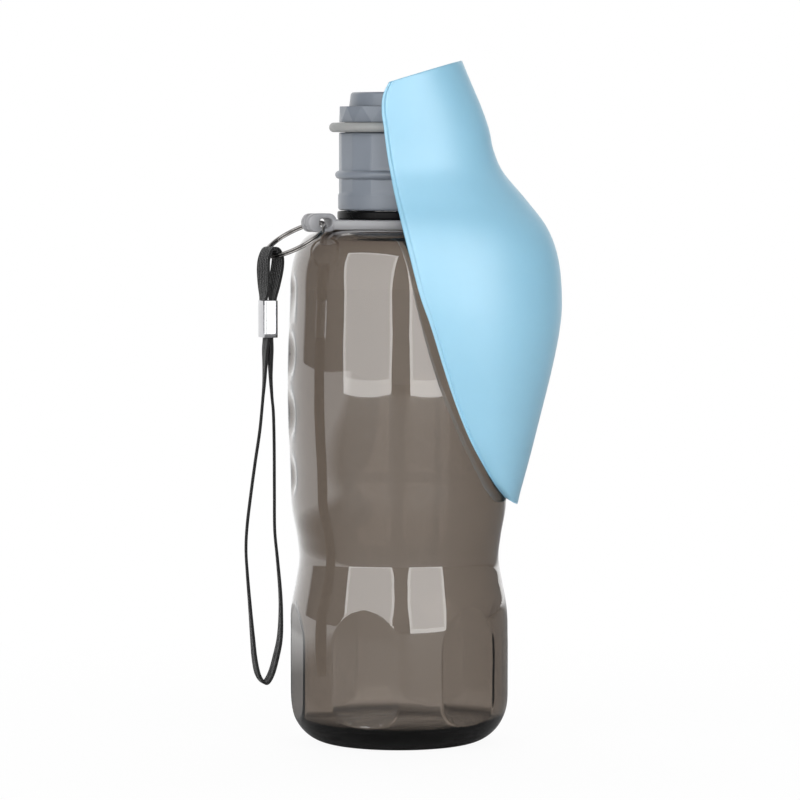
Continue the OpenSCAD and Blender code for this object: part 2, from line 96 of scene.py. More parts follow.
def add_mesh(name, verts, faces, smooth=True):
    """A new object from points in millimetres."""
    mesh = bpy.data.meshes.new(name)
    mesh.from_pydata([Vector(v) * MM for v in verts], [], faces)
    mesh.validate()
    bm = bmesh.new()
    bm.from_mesh(mesh)
    bmesh.ops.recalc_face_normals(bm, faces=bm.faces)
    bm.to_mesh(mesh)
    bm.free()
    for p in mesh.polygons:
        p.use_smooth = smooth
    obj = bpy.data.objects.new(name, mesh)
    scene.collection.objects.link(obj)
    return obj


def add_bevel(obj, width, segments, degrees):
    """Round the edges that are sharper than an angle; the width in millimetres."""
    bevel = obj.modifiers.new("bevel", "BEVEL")
    bevel.width = width * MM
    bevel.segments = segments
    bevel.limit_method = "ANGLE"
    bevel.angle_limit = math.radians(degrees)
    return bevel


# ---------------------------------------------------------------- strap

WEB_W, WEB_T = 8.0, 1.1
LUG_TURN = 212.0
SPLIT_D, COIL_T, COIL_W, SPLIT_FALL = 25.0, 0.85, 1.5, 30.0
SPLIT_MID = (SPLIT_D - COIL_W) / 2
LUG_R, LUG_HALF, LUG_H, LUG_T, LUG_Z = 34.3, 6.1, 6.8, 6.0, 192.5
EYE_R, EYE_W, EYE_H = LUG_R - 1.2, 5.4, 3.2
HOOK_R = EYE_R + EYE_W / 2 - COIL_W / 2 - 0.9
HOOK_Z = LUG_Z - 0.1
STRAP_R = HOOK_R + 2 * SPLIT_MID * math.cos(math.radians(SPLIT_FALL))
STRAP_Z = HOOK_Z - 2 * SPLIT_MID * math.sin(math.radians(SPLIT_FALL))
WEB_X = STRAP_R * math.cos(math.radians(LUG_TURN))
WEB_Y = STRAP_R * math.sin(math.radians(LUG_TURN))
LOOP_TURN, CLASP_TURN, HANG_TURN = LUG_TURN - 180, 17.0, 3.0
CLASP_H, CLASP_WALL, CLASP_BOW = 13.4, 0.5, 0.07
CLASP_X, CLASP_Y, CLASP_Z = WEB_X - 1.2, WEB_Y - 0.3, STRAP_Z - 29.45
CLASP_TOP = CLASP_Z + CLASP_H
LAYER_GAP = 0.08
PAIR = (WEB_T + LAYER_GAP) / 2
OUTER_PAIR = 3 * PAIR
CLASP_T = 4 * WEB_T + 5 * LAYER_GAP

# Stations along the loops: distance across the loop, height, turn of the loop's plane
UPPER_HALF = [
    (OUTER_PAIR, CLASP_Z + 0.3, CLASP_TURN), (OUTER_PAIR, CLASP_TOP - 3, CLASP_TURN),
    (OUTER_PAIR, CLASP_TOP + 0.3, 19), (2, STRAP_Z - 12.3, 30), (2.6, STRAP_Z - 8.2, 36),
    (3.1, STRAP_Z - 4.2, 37), (2.9, STRAP_Z - 0.6, 34), (1.6, STRAP_Z + 2.2, LOOP_TURN)]
UPPER = ([(-x, z, t) for x, z, t in UPPER_HALF] + [(0, STRAP_Z + 2.9, LOOP_TURN)]
         + UPPER_HALF[::-1])
LOWER_FORM = [
    (-PAIR, 0.3 - CLASP_H, CLASP_TURN), (-PAIR, -3, CLASP_TURN), (-PAIR, 0.3, CLASP_TURN),
    (-1, 4.5, 15), (-1.15, 10, 10), (-1.4, 16, 6), (-1.9, 22, HANG_TURN), (-3, 33.5, HANG_TURN),
    (-4.7, 45, HANG_TURN), (-6.3, 56.7, HANG_TURN), (-7.7, 68.3, HANG_TURN),
    (-8.15, 77, HANG_TURN),
    (-7.7, 85.7, 4), (-6.8, 97.3, 6), (-5.9, 109, 10), (-5.2, 117, 13), (-3.9, 123, 15),
    (-1.4, 125.8, 15), (1, 122.5, 15), (3, 115.5, 14), (4.2, 109, 12), (4.5, 100, 8),
    (4.2, 91.5, 6), (3.2, 80, 4), (2.3, 70, HANG_TURN), (2.2, 56.7, HANG_TURN),
    (2.15, 39.3, HANG_TURN), (1.9, 27.7, HANG_TURN), (1.4, 21.8, HANG_TURN), (0.95, 15, 6),
    (0.85, 10, 10), (0.8, 4.5, 15), (PAIR, 0.3, CLASP_TURN), (PAIR, -3, CLASP_TURN),
    (PAIR, 0.3 - CLASP_H, CLASP_TURN)]
LOWER = [(x, CLASP_Z - z, t) for x, z, t in LOWER_FORM]


def station(s):
    """A point on the strap, and the turn of its width there."""
    t = (s[1] - CLASP_TOP) / (STRAP_Z - CLASP_TOP)
    t = min(max(t, 0.0), 1.0)
    turn = math.radians(s[2])
    return (Vector((CLASP_X + (WEB_X - CLASP_X) * t + s[0] * math.cos(turn),
                    CLASP_Y + (WEB_Y - CLASP_Y) * t + s[0] * math.sin(turn), s[1])), turn)


def web_outline():
    """Half rounded webbing, thick at its woven edges and ribbed along its faces."""
    top = []
    points, ribs, edge_from = 16, 5, 0.8
    for k in range(points + 1):
        u = -1 + 2 * k / points
        rib = 0.98 if abs(u) > edge_from else 0.90 + 0.06 * math.cos(u * math.pi * ribs)
        top.append((u * 0.5, 0.5 * rib * (1 - abs(u) ** 10) ** 0.5))
    return top + [(x, -y) for x, y in reversed(top[1:-1])]


def webbing(name, route, steps):
    """A woven band swept along a route, with its path."""
    line = [station(s) for s in catmull(route, steps)]
    outline = web_outline()
    n = len(outline)
    verts = []
    along_mm = [0.0]
    for i, (p, turn) in enumerate(line):
        q = line[min(i + 1, len(line) - 1)][0] - line[max(i - 1, 0)][0]
        along = q.normalized()
        across = Vector((-math.sin(turn), math.cos(turn), 0))
        wide = (across - across.dot(along) * along).normalized()
        thick = wide.cross(along)
        if i:
            along_mm.append(along_mm[-1] + (p - line[i - 1][0]).length)
        for o in outline:
            verts.append(p + o[0] * WEB_W * wide + o[1] * WEB_T * thick)
    faces = band_faces(len(line), n)
    faces.append(tuple(range(n - 1, -1, -1)))
    faces.append(tuple((len(line) - 1) * n + k for k in range(n)))
    obj = add_mesh(name, verts, faces)
    uv = obj.data.uv_layers.new(name="web")
    for loop in obj.data.loops:
        row, k = divmod(loop.vertex_index, n)
        uv.data[loop.index].uv = (outline[k][0] * WEB_W, along_mm[row])
    return obj, [tuple(p * MM) for p, _ in line]


upper_web, upper_path = webbing("strap_web_upper", UPPER, 10)
lower_web, lower_path = webbing("strap_web_lower", LOWER, 8)


# ---------------------------------------------------------------- materials

class Shader:
    """A small builder for a node material with a Principled surface."""

    def __init__(self, name, color=(0.5, 0.5, 0.5), rough=0.5, **values):
        self.mat = bpy.data.materials.new(name)
        self.mat.use_nodes = True
        self.tree = self.mat.node_tree
        self.tree.nodes.clear()
        self.out = self.node("OutputMaterial")
        self.bsdf = self.node("BsdfPrincipled")
        self.link(self.bsdf.outputs[0], self.out.inputs["Surface"])
        self.bsdf.inputs["Base Color"].default_value = (*color, 1)
        self.bsdf.inputs["Roughness"].default_value = rough
        for key, value in values.items():
            self.bsdf.inputs[key.replace("_", " ")].default_value = value
        self.mat.diffuse_color = (*color, 1)

    def node(self, kind, **props):
        made = self.tree.nodes.new("ShaderNode" + kind)
        for key, value in props.items():
            setattr(made, key, value)
        return made

    def link(self, a, b):
        self.tree.links.new(a, b)

    def feed(self, socket, value):
        """Link an output to a socket, or set a constant on it."""
        if isinstance(value, (int, float, tuple)):
            socket.default_value = value
        else:
            self.link(value, socket)

    def math(self, op, a, b=0.0):
        made = self.node("Math", operation=op)
        for socket, value in zip(made.inputs, (a, b)):
            self.feed(socket, value)
        return made.outputs[0]

    def coords(self):
        """Place on the piece at rest, in metres."""
        return self.node("TexCoord").outputs["Object"]

    def noise(self, scale, detail=2.0, rough=0.5, vector=None, stretch=None):
        vector = vector or self.coords()
        if stretch:
            mapping = self.node("Mapping")
            mapping.inputs["Scale"].default_value = stretch
            self.link(vector, mapping.inputs["Vector"])
            vector = mapping.outputs[0]
        made = self.node("TexNoise")
        self.link(vector, made.inputs["Vector"])
        made.inputs["Scale"].default_value = scale
        made.inputs["Detail"].default_value = detail
        made.inputs["Roughness"].default_value = rough
        return made.outputs["Fac"]

    def ramp(self, value, stops):
        """A colour from a value, through (place, colour) stops."""
        made = self.node("ValToRGB")
        band = made.color_ramp
        while len(band.elements) < len(stops):
            band.elements.new(0.5)
        for element, (place, color) in zip(band.elements, stops):
            element.position = place
            element.color = (*color, 1)
        self.feed(made.inputs[0], value)
        return made.outputs[0]

    def span(self, value, low, high, new_low, new_high):
        """A value moved from one range to another."""
        made = self.node("MapRange")
        for socket, v in zip(made.inputs, (value, low, high, new_low, new_high)):
            self.feed(socket, v)
        return made.outputs[0]

    def bump(self, height, strength, distance):
        made = self.node("Bump")
        made.inputs["Strength"].default_value = strength
        made.inputs["Distance"].default_value = distance
        self.link(height, made.inputs["Height"])
        self.link(made.outputs[0], self.bsdf.inputs["Normal"])

    def set(self, name, value):
        self.feed(self.bsdf.inputs[name], value)


def shade(color, factor):
    return tuple(min(c * factor, 1.0) for c in color)


def srgb(r, g, b):
    """A linear colour from sRGB values up to 255."""
    return tuple((c / 255 / 12.92) if c < 11 else ((c / 255 + 0.055) / 1.055) ** 2.4
                 for c in (r, g, b))


def moulded(name, color, rough, grain=2200, depth=0.00003, fleck=0.03, **values):
    """Moulded plastic with a fine grain, slight clouding and soft wear on the gloss."""
    s = Shader(name, color, rough, **values)
    cloud = s.noise(55, 3, 0.55)
    s.set("Base Color", s.ramp(cloud, [(0.3, shade(color, 1 - fleck)),
                                       (0.7, shade(color, 1 + fleck))]))
    fine = s.noise(grain, 2, 0.6)
    s.set("Roughness", s.span(s.noise(420, 3, 0.6), 0.3, 0.7, rough - 0.05, rough + 0.05))
    s.bump(fine, 0.25, depth)
    return s.mat


mats = {}
mats["cap"] = moulded("cap_plastic", srgb(126, 133, 143), 0.4, Specular_IOR_Level=0.5,
                      Coat_Weight=0.35, Coat_IOR=1.5, Coat_Roughness=0.3)
mats["ring"] = moulded("ring_plastic", srgb(158, 159, 158), 0.45, Specular_IOR_Level=0.4)
mats["collar"] = moulded("collar_plastic", srgb(156, 156, 159), 0.36, Specular_IOR_Level=0.5,
                         Coat_Weight=0.6, Coat_IOR=1.5, Coat_Roughness=0.25)
mats["leaf"] = moulded("leaf_plastic", srgb(147, 202, 228), 0.45, grain=1500, depth=0.00004,
                       fleck=0.012, Specular_IOR_Level=0.9, Coat_Weight=1.0,
                       Coat_IOR=1.5, Coat_Roughness=0.45, Subsurface_Weight=0.08,
                       Subsurface_Radius=(0.002, 0.003, 0.004))
mats["rubber"] = moulded("black_rubber", srgb(13, 13, 14), 0.3, fleck=0.08,
                         Specular_IOR_Level=0.12)
mats["white"] = moulded("white_plastic", srgb(226, 226, 224), 0.4)
mats["silicone"] = moulded("silicone", srgb(205, 207, 208), 0.5, Subsurface_Weight=0.15,
                           Subsurface_Radius=(0.002, 0.002, 0.002))


def metal(name, color, rough, brush, stretch):
    s = Shader(name, color, rough, Metallic=1.0)
    lines = s.noise(brush, 3, 0.6, stretch=stretch)
    s.set("Roughness", s.span(lines, 0.3, 0.7, rough * 0.7, rough * 1.4))
    s.set("Base Color", s.ramp(s.noise(300, 2), [(0.3, shade(color, 0.94)), (0.7, color)]))
    s.bump(lines, 0.15, 0.00002)
    return s.mat


mats["steel"] = metal("steel", srgb(176, 173, 170), 0.14, 900, (1, 1, 6))
mats["chrome"] = metal("chrome", srgb(205, 205, 208), 0.1, 700, (1, 1, 8))


RIB_MM, THREAD_MM = 0.95, 1.05      # from rib to rib along the webbing, from thread to thread


def woven():
    """Black webbing: ribs across its width, over and under at each thread, with a painted
    highlight on the raised threads and painted shade in the hollows between them.
    """
    s = Shader("webbing", (0.012, 0.012, 0.012), 0.7, Specular_IOR_Level=0.35,
               Sheen_Weight=0.25, Sheen_Roughness=0.4)
    uv = s.node("UVMap", uv_map="web").outputs[0]
    split = s.node("SeparateXYZ")
    s.link(uv, split.inputs[0])
    across, along = split.outputs[0], split.outputs[1]
    rib = 2 * math.pi / RIB_MM
    thread = 2 * math.pi / THREAD_MM
    half = s.math("MULTIPLY", s.math("ROUND", s.math("DIVIDE", across, THREAD_MM)), math.pi)
    weft = s.math("SINE", s.math("ADD", s.math("MULTIPLY", along, rib), half))
    warp = s.math("COSINE", s.math("MULTIPLY", across, thread))
    height = s.math("ADD", s.math("MULTIPLY", weft, 0.5), s.math("MULTIPLY", warp, 0.5))
    fibre = s.noise(2500, 3, 0.7, vector=uv, stretch=(0.002, 0.0006, 0.001))
    weave_relief_and_painted_light = s.math("ADD", s.math("MULTIPLY", height, 0.5), s.math("MULTIPLY", fibre, 0.3))
    # Painted light in the base colour: the raised threads are lighter as a painted highlight and
    # the hollows are darker as painted shade, with random fibre tone mixed in.
    s.set("Base Color", s.ramp(s.span(weave_relief_and_painted_light, -0.6, 0.9, 0, 1),
                               [(0.1, (0.003, 0.003, 0.003)), (0.6, (0.014, 0.014, 0.014)),
                                (0.95, (0.06, 0.06, 0.062))]))
    s.bump(weave_relief_and_painted_light, 1.0, 0.0005)
    return s.mat


mats["web"] = woven()


def smoked():
    """Smoky clear plastic: tinted where light goes in and out, and darker where it is thick."""
    s = Shader("smoked_plastic", (0.9, 0.9, 0.9), 0.0, IOR=1.42, Transmission_Weight=1.0,
               Coat_IOR=1.75, Coat_Roughness=0.02)
    tint = (0.756, 0.733, 0.706)
    cloud = s.noise(18, 2, 0.5)
    s.set("Base Color", s.ramp(cloud, [(0.3, shade(tint, 0.985)), (0.7, shade(tint, 1.015))]))
    s.bump(s.noise(45, 2, 0.4), 0.04, 0.0002)
    skin = s.node("Attribute", attribute_name="skin").outputs["Fac"]
    s.set("Coat Weight", s.math("MULTIPLY", skin, s.math(
        "SUBTRACT", 1.0, s.node("NewGeometry").outputs["Backfacing"])))
    depth = s.node("VolumeAbsorption")
    depth.inputs["Color"].default_value = (0.60, 0.55, 0.505, 1)
    depth.inputs["Density"].default_value = 850
    s.link(depth.outputs[0], s.out.inputs["Volume"])
    return s.mat


mats["smoke"] = smoked()


def dress(obj, key):
    obj.data.materials.clear()
    obj.data.materials.append(mats[key])
    return obj


# ---------------------------------------------------------------- bottle

BARREL_R, BULGE_R, WAIST_R = 41.0, 40.5, 36.9
SHOULDER_Z, SHOULDER_IN, SHOULDER_DROP, SHOULDER_POWER = 189.8, 24.0, 24.8, 2.8
WALL, FLOOR_T, FOOT_R, FOOT_H = 1.6, 2.9, 24.0, 19.0
PANEL_COUNT, PANEL_DEPTH, PANEL_TOP, ARCH_H, PANEL_LIP = 6, 2.0, 60.0, 18.5, 0.22
GRIP_COUNT, GRIP_PITCH, GRIP_DEPTH, GRIP_Z, GRIP_BALL = 4, 22.6, 2.4, 167.0, 16.0
BODY_TURN = math.radians(-168.5)
NECK_R, NECK_BORE_R, NECK_H, PITCH = 17.8, 15.4, 22.7, 4.5
NECK_TOP = SHOULDER_Z + NECK_H
COLLAR_Z = SHOULDER_Z + 0.05
COLLAR_T = 3.6
GASKET_Z = COLLAR_Z + COLLAR_T + 0.05
GASKET_T = 3.0
SKIRT_Z = GASKET_Z + GASKET_T + 0.3
THREAD_R, THREAD_OFF, THREAD_Z, THREAD_H = 18.1, 0.8, SKIRT_Z + 1.5, 10.0
PUNT_H, PUNT_FOOT = 4.8, FOOT_R - 4.5
PUNT_R = (PUNT_FOOT ** 2 + PUNT_H ** 2) / (2 * PUNT_H)
FLOOR_Z = PUNT_H + FLOOR_T
FOOT_IN_R = FOOT_R + 7

WAIST_Z = 68.5


def above(share):
    """Height a share of the way from the waist to the shoulder."""
    return WAIST_Z + (SHOULDER_Z - WAIST_Z) * share


SIDE = [(BULGE_R, FOOT_H + 6), (BULGE_R, FOOT_H + 19), (BULGE_R - 0.6, 50.0),
        (WAIST_R + 1.2, WAIST_Z - 8.5), (WAIST_R, WAIST_Z), (WAIST_R + 0.9, above(0.07)),
        (WAIST_R + 2.8, above(0.161)), (BARREL_R - 0.9, above(0.268)), (BARREL_R, above(0.441)),
        (BARREL_R, above(0.606)), (BARREL_R - 0.6, above(0.721))]


def corner(x, y, rx, ry, power, n):
    """A quarter of a superellipse, from its side to its top."""
    out = []
    for k in range(n + 1):
        a = math.pi / 2 * k / n
        out.append((x + rx * math.cos(a) ** (2 / power), y + ry * math.sin(a) ** (2 / power)))
    return out


def smooth_min(a, b, k):
    """The smaller of two numbers, blended where they come within k."""
    h = max(k - abs(a - b), 0.0) / k
    return min(a, b) - h * h * k / 4


def body_line(w, f):
    """The outline of the body, w inside its outer face, from the floor to the neck."""
    edge, power = (FOOT_IN_R, 3.2) if w else (FOOT_R, 2.2)
    foot = [(edge + q[1], FOOT_H - q[0])
            for q in corner(0, 0, FOOT_H - f, BULGE_R - w - edge, power, 24)]
    side = [(r - w, z) for r, z in catmull([list(p) for p in SIDE], 9)]
    top = corner(SHOULDER_IN, SHOULDER_Z - SHOULDER_DROP, BARREL_R - 0.9 - w - SHOULDER_IN,
                 SHOULDER_DROP - w, SHOULDER_POWER, 28)
    return foot + side + top


LIP_W = 0.22              # distance over which the step at a panel's edge builds up
GRIP_REACH = 0.5          # how far round the finger dimples can reach, in radians


def pressed(theta, r, z, w):
    """The radius after the arched panels and the finger dimples are pressed in."""
    flat_r = BULGE_R - PANEL_DEPTH - w
    step = 2 * math.pi / PANEL_COUNT
    off = (theta - BODY_TURN + step / 2) % step - step / 2
    low = PANEL_TOP - ARCH_H
    flat = flat_r + max(z - low, 0) * PANEL_DEPTH / ARCH_H
    if z < PANEL_TOP + 8:
        panel = flat / math.cos(off)
        depth = min(max((r - panel) / LIP_W, 0.0), 1.0)
        r = smooth_min(r, panel, 0.06) - PANEL_LIP * depth * depth * (3 - 2 * depth)
    turn = (theta - BODY_TURN + math.pi) % (2 * math.pi) - math.pi
    if abs(turn) < GRIP_REACH:
        far = BARREL_R - GRIP_DEPTH + GRIP_BALL
        for i in range(GRIP_COUNT):
            dz = z - (GRIP_Z - GRIP_PITCH * i)
            under = (GRIP_BALL + w) ** 2 - dz * dz - (far * math.sin(turn)) ** 2
            if under > 0:
                r = smooth_min(r, far * math.cos(turn) - math.sqrt(under), 0.6)
    return r


def thread_form(theta, z, r):
    """The radius of a screw thread: a circle set off the axis and turned with the height."""
    off = theta - 2 * math.pi * z / PITCH
    return THREAD_OFF * math.cos(off) + math.sqrt(r ** 2 - (THREAD_OFF * math.sin(off)) ** 2)


RUN_OUT = 0.4             # height over which the thread fades at its ends


def threaded(theta, z):
    """The radius of the neck's outer face, with its screw thread."""
    fade = min((z - THREAD_Z) / RUN_OUT, (THREAD_Z + THREAD_H - z) / RUN_OUT, 1.0)
    if fade <= 0:
        return NECK_R
    return NECK_R + max(thread_form(theta, z, THREAD_R) - NECK_R, 0.0) * fade


AROUND = 540              # points round the bottle
GATE_R, GATE_H = 1.6, 0.35    # the small pip that the moulding leaves under the floor
RING_UP = 0.4             # depth of the two grooves under the floor
THREAD_STEP = 0.45        # from row to row along the neck


def punt(r):
    """The height of the hollow under the floor."""
    return PUNT_H - PUNT_R + math.sqrt(PUNT_R ** 2 - r * r)


def make_bottle():
    """The bottle's shell, from the pip under its floor, over the neck and down inside."""
    rows = []                      # (kind, radius, height)
    rows += [("plain", r, punt(r) - GATE_H * max(0, 1 - (r / GATE_R) ** 4) * (r < GATE_R))
             for r in (0.5, 1, 1.3, GATE_R)]
    grooves = (7.66, 8.34, 11.66, 12.34)
    for r in (3, 5, 7, 7.6, *grooves[:2], 8.4, 10, 11.6, *grooves[2:], 12.4, 14, 16, 18, 19,
              19.5, 20, 22):
        up = RING_UP if r in grooves else 0
        rows.append(("plain", r, (punt(r) if r < PUNT_FOOT else 0.0) + up))
    rows += [("out", r, z) for r, z in body_line(0, 0)]
    rows += [("plain", r, SHOULDER_Z) for r in (21.5, 19.2)]
    rows += [("plain", NECK_R + 0.5, SHOULDER_Z + 0.12), ("plain", NECK_R, SHOULDER_Z + 0.6)]
    z = SHOULDER_Z + 3
    while z < NECK_TOP - 1:
        rows.append(("neck", NECK_R, z))
        z += THREAD_STEP
    rows += [("plain", NECK_R, NECK_TOP - 0.5), ("plain", NECK_R - 0.5, NECK_TOP),
             ("plain", NECK_BORE_R + 0.4, NECK_TOP), ("plain", NECK_BORE_R, NECK_TOP - 0.4),
             ("plain", NECK_BORE_R, SHOULDER_Z), ("plain", NECK_BORE_R, SHOULDER_Z - WALL + 0.5),
             ("plain", NECK_BORE_R + 0.5, SHOULDER_Z - WALL), ("plain", 20, SHOULDER_Z - WALL)]
    rows += [("in", r, z) for r, z in reversed(body_line(WALL, FLOOR_Z))]
    rows += [("plain", r, FLOOR_Z) for r in (24, 14, 5)]
    radius = {"plain": lambda a, r, z: r, "neck": lambda a, r, z: threaded(a, z),
              "out": lambda a, r, z: pressed(a, r, z, 0),
              "in": lambda a, r, z: pressed(a, r, z, WALL)}
    verts = []
    for kind, r, z in rows:
        for k in range(AROUND):
            a = 2 * math.pi * k / AROUND
            q = radius[kind](a, r, z)
            verts.append((q * math.cos(a), q * math.sin(a), z))
    faces = band_faces(len(rows), AROUND)
    last = (len(rows) - 1) * AROUND
    verts.append((0, 0, PUNT_H - GATE_H))
    verts.append((0, 0, FLOOR_Z))
    foot, top = len(verts) - 2, len(verts) - 1
    faces += [(foot, (k + 1) % AROUND, k) for k in range(AROUND)]
    faces += [(top, last + k, last + (k + 1) % AROUND) for k in range(AROUND)]
    obj = dress(add_mesh("bottle_shell", verts, faces), "smoke")
    inside = next(i for i, row in enumerate(rows) if row[1:] == (NECK_BORE_R, SHOULDER_Z))
    # The outer face, which alone has the clear coat
    skin = obj.data.attributes.new("skin", "FLOAT", "POINT")
    for i, v in enumerate(skin.data):
        v.value = 0.0 if i >= inside * AROUND else 1.0
    return obj


bottle = make_bottle()
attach(bottle, "bottle")
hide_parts("bottle_body")

# ---------------------------------------------------------------- leaf

# Stations down the leaf: rim x, rim height, spine x, spine height, half width
LEAF = [
    [-3.6, 243.5, 23.2, 251.7, 28.8], [-5.8, 238.6, 26.6, 243.5, 29.8],
    [-6.2, 232.9, 30.4, 234.6, 30.3], [-5.4, 226.7, 33.3, 226.1, 30.5],
    [-4.5, 219.4, 34.8, 219, 30.8], [-3.2, 211.4, 38.4, 210.8, 32.2],
    [-1.2, 201.4, 46.9, 200.6, 37], [1.2, 191.4, 54.7, 190.2, 42.6],
    [4, 180.4, 58.8, 178.6, 46], [7.6, 166.7, 60.1, 163.9, 47.4],
    [11.5, 155.6, 59.2, 152.2, 46.8], [15.8, 141.5, 56.2, 137.2, 44.6],
    [20.5, 127.3, 52.5, 122.2, 40.6], [25.7, 114.3, 49.2, 109, 35.8],
    [30.7, 104.6, 46.7, 99.6, 30.4], [35, 97.2, 44.9, 93, 24.8],
    [38.6, 92.2, 43.9, 88.6, 17.8]]
LEAF_ROUND, LEAF_WALL = 2.3, 2.0
PIN_R, RUN = 1.6, 0.07    # pivot pin, and the air round it in its socket
PIVOT_Z = 227.2


def leaf_point(s, a, w):
    """A point of the leaf at a station, w inside its outer face, a being the angle round it."""
    depth = max(s[2] - s[0] - w, 0.3)
    c = abs(math.cos(a)) ** (2 / LEAF_ROUND)
    y = math.copysign(abs(math.sin(a)) ** (2 / LEAF_ROUND), a)
    return (s[0] + depth * c, (s[4] - w) * y, s[1] + (s[3] - s[1]) * c * depth / (s[2] - s[0]))


BEAD_FROM = 87.4          # where the bead starts, in degrees round the leaf


def rim_bead(a):
    """How far a bead and a groove along the rim move the outer face inwards."""
    line = [(BEAD_FROM, 0), (88.2, 0.12), (88.6, 0.22), (88.9, 0.05), (89.1, -0.2),
            (89.5, -0.26), (90, -0.2)]
    deg = abs(math.degrees(a))
    for (p, u), (q, v) in zip(line, line[1:]):
        if p <= deg <= q + 1e-6:
            return u + (v - u) * (deg - p) / (q - p)
    return 0.0


def make_leaf():
    """The leaf: an open trough of even thickness, with a bead along its rim."""
    rows = catmull(LEAF, 6)
    edge = [BEAD_FROM, 87.9, 88.2, 88.45, 88.6, 88.75, 88.9, 89.1, 89.3, 89.5, 89.75, 90]
    turns = [-d for d in reversed(edge)] + [85.5 * k / 26 for k in range(-26, 27)] + edge
    turns = [math.radians(d) for d in turns]
    across = len(turns) - 1
    lip = 3
    n = 2 * (across + 1) + 2 * lip
    verts = []
    for s in rows:
        outer = [leaf_point(s, a, rim_bead(a)) for a in turns]
        inner = [leaf_point(s, a, LEAF_WALL) for a in turns]
        ring = list(outer)
        for k in range(1, lip + 1):
            ring.append(tuple(p + (q - p) * k / (lip + 1) for p, q in zip(outer[-1], inner[-1])))
        ring += reversed(inner)
        for k in range(1, lip + 1):
            ring.append(tuple(p + (q - p) * k / (lip + 1) for p, q in zip(inner[0], outer[0])))
        verts += ring
    faces = band_faces(len(rows), n)
    for base, flip in ((0, False), ((len(rows) - 1) * n, True)):
        for k in range(across):
            a = base + k
            b = base + 2 * across + 1 + lip - k
            quad = (a, a + 1, b - 1, b)
            faces.append(quad[::-1] if flip else quad)
        faces.append(tuple(range(base + across, base + across + lip + 2)))
        faces.append((*range(base + n - lip - 1, base + n), base))
    obj = add_mesh("leaf_shell", verts, faces)
    add_bevel(obj, 0.8, 4, 42)
    return dress(obj, "leaf")


leaf = make_leaf()
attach(leaf, "leaf")


# ---------------------------------------------------------------- turned pieces

def revolve(name, key, rows, around):
    """A turned ring through rows of (radius, height)."""
    verts = []
    for r, z in rows:
        for k in range(around):
            a = 2 * math.pi * k / around
            verts.append((r * math.cos(a), r * math.sin(a), z))
    return dress(add_mesh(name, verts, band_faces(len(rows), around, wrap=True)), key)


def fillet(points, radius, n=4):
    """A closed outline with its corners rounded."""
    out = []
    count = len(points)
    for i, p in enumerate(points):
        p = Vector(p)
        a = Vector(points[i - 1]) - p
        b = Vector(points[(i + 1) % count]) - p
        half = a.angle(b) / 2
        if half > math.radians(87):
            out.append(tuple(p))
            continue
        reach = min(radius / math.tan(half), a.length * 0.49, b.length * 0.49)
        start, end = p + a.normalized() * reach, p + b.normalized() * reach
        for k in range(n + 1):
            t = k / n
            q = start * (1 - t) ** 2 + p * 2 * t * (1 - t) + end * t * t
            out.append(tuple(q))
    return out


def smooth_by_angle(obj, degrees=28):
    """Smooth shading that stays sharp over the edges."""
    bm = bmesh.new()
    bm.from_mesh(obj.data)
    limit = math.radians(degrees)
    for face in bm.faces:
        face.smooth = True
    for edge in bm.edges:
        edge.smooth = len(edge.link_faces) == 2 and edge.calc_face_angle(0) < limit
    bm.to_mesh(obj.data)
    bm.free()


# The pivot bosses: their inner face, the socket's end and their outer face, from the axis
BOSS_IN, SOCKET_END, BOSS_OUT, BOSS_R = 26.1, 29.15, 29.5, PIN_R + 2.2
AXIS_R = 0.02             # the small hole left on a turned piece's own axis
for side_name, sign in (("front", -1), ("back", 1)):
    outline = [(AXIS_R, SOCKET_END), (PIN_R + RUN, SOCKET_END), (PIN_R + RUN, BOSS_IN),
               (BOSS_R, BOSS_IN), (BOSS_R, BOSS_OUT), (AXIS_R, BOSS_OUT)]
    boss = revolve("leaf_boss_" + side_name, "leaf", fillet(outline, 0.3), 96)
    boss.data.transform(Matrix.Translation((0, 0, PIVOT_Z * MM))
                        @ Matrix.Rotation(math.radians(-90 * sign), 4, "X"))
    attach(boss, "leaf")
    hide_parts("leaf_trough")
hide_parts("leaf_trough")

# ---------------------------------------------------------------- cap

FACETS, FACET_R, FACET_PHASE = 16, 22.2, -4.4
SKIRT_R, SKIRT_H, RIB_H, RIB_R = 22.4, 7.1, 13.0, 1.5
CAP_H, SPIGOT_R, SPIGOT_H = 28.5, 19.7, 8.6
CHAMBER_R, CHAMBER_H, THROAT_R, DECK_HOLE_R, DECK_T = 19.0, 4.7, 17.55, 9.0, 2.45
LINER_T, RING_H, LOCK_H = 1.45, 3.5, 5.8
DECK_Z = NECK_TOP + 0.05 + LINER_T + 0.05
GUIDE_Z = DECK_Z + DECK_T
SEAT_Z = SKIRT_Z + CAP_H
LOCK_Z = SEAT_Z + 0.15 + RING_H + 0.15
LOCK_TOP = LOCK_Z + LOCK_H
CAP_THREAD_R = THREAD_R + 0.5


FACET_STEPS = (-0.75, 0, 0.75, 1.3, 4, 7.5, 11.25, 15, 18.5, 21.2)   # degrees from a corner


def facet_angles():
    """Angles round the cap, close together at the corners between its facets."""
    return [math.radians(FACET_PHASE + 360 / FACETS * i + d)
            for i in range(FACETS) for d in FACET_STEPS]


def faceted(theta, r):
    """The radius of the facets, with their corners a little rounded."""
    step = 2 * math.pi / FACETS
    off = (theta - math.radians(FACET_PHASE)) % step - step / 2
    flat = r * math.cos(step / 2) / math.cos(off)
    return smooth_min(flat, r - 0.06, 0.12)


def facet_edge(inset):
    """The radius of the facets, moved in, for the rounded edge at their top."""
    return lambda theta, z: faceted(theta, FACET_R) - inset


def smooth_max(a, b, k):
    return -smooth_min(-a, -b, k)


